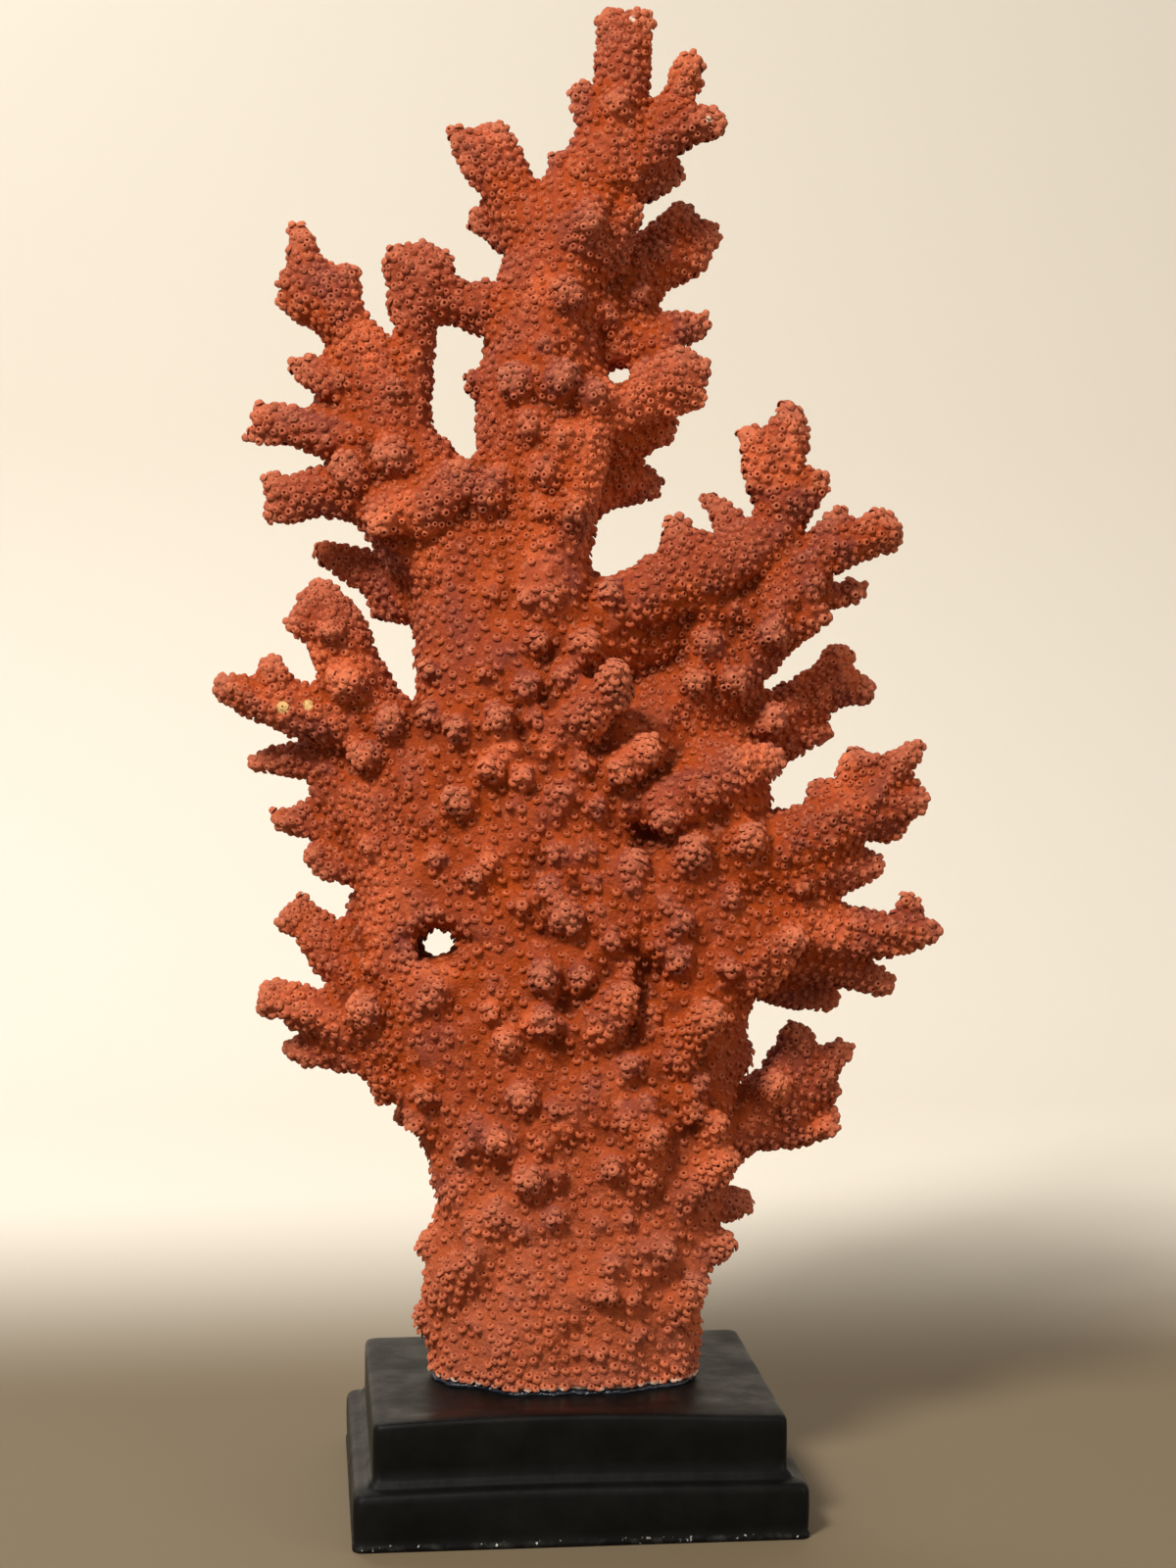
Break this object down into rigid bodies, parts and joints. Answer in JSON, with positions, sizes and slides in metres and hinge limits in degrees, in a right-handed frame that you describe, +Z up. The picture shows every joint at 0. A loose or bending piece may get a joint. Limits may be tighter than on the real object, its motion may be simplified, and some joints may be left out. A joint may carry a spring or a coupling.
{
  "type": "coral specimen on plinth",
  "caption": "Fan-shaped branching coral with tubular cups all over it, glued by its flat-cut foot to a moulded black two-step plinth, for display on a table or shelf.",
  "frame": {"origin": "centre of the plinth's flat underside", "axes": "+Z up, +X along the plinth's long side, -Y out of the front"},
  "size_m": [0.2911, 0.141, 0.5978],
  "materials": {
    "coral": "rough, matt, salmon-orange coral skeleton with burnt-orange recesses and dusty purplish-brown patches",
    "adhesive": "set bluish-black glue, half gloss",
    "black_paint": "satin black paint over moulded steps, with a few pale chips at the lower edge"
  },
  "bodies": {
    "root": {"trunk": "coral", "leader": "coral", "crown": "coral", "upper_left_branch": "coral", "middle_left_branch": "coral", "lower_left_branch": "coral", "upper_right_branch": "coral", "middle_right_branch": "coral", "lower_right_branch": "coral", "adhesive_bed": "adhesive", "plinth": "black_paint"}
  },
  "joints": []
}
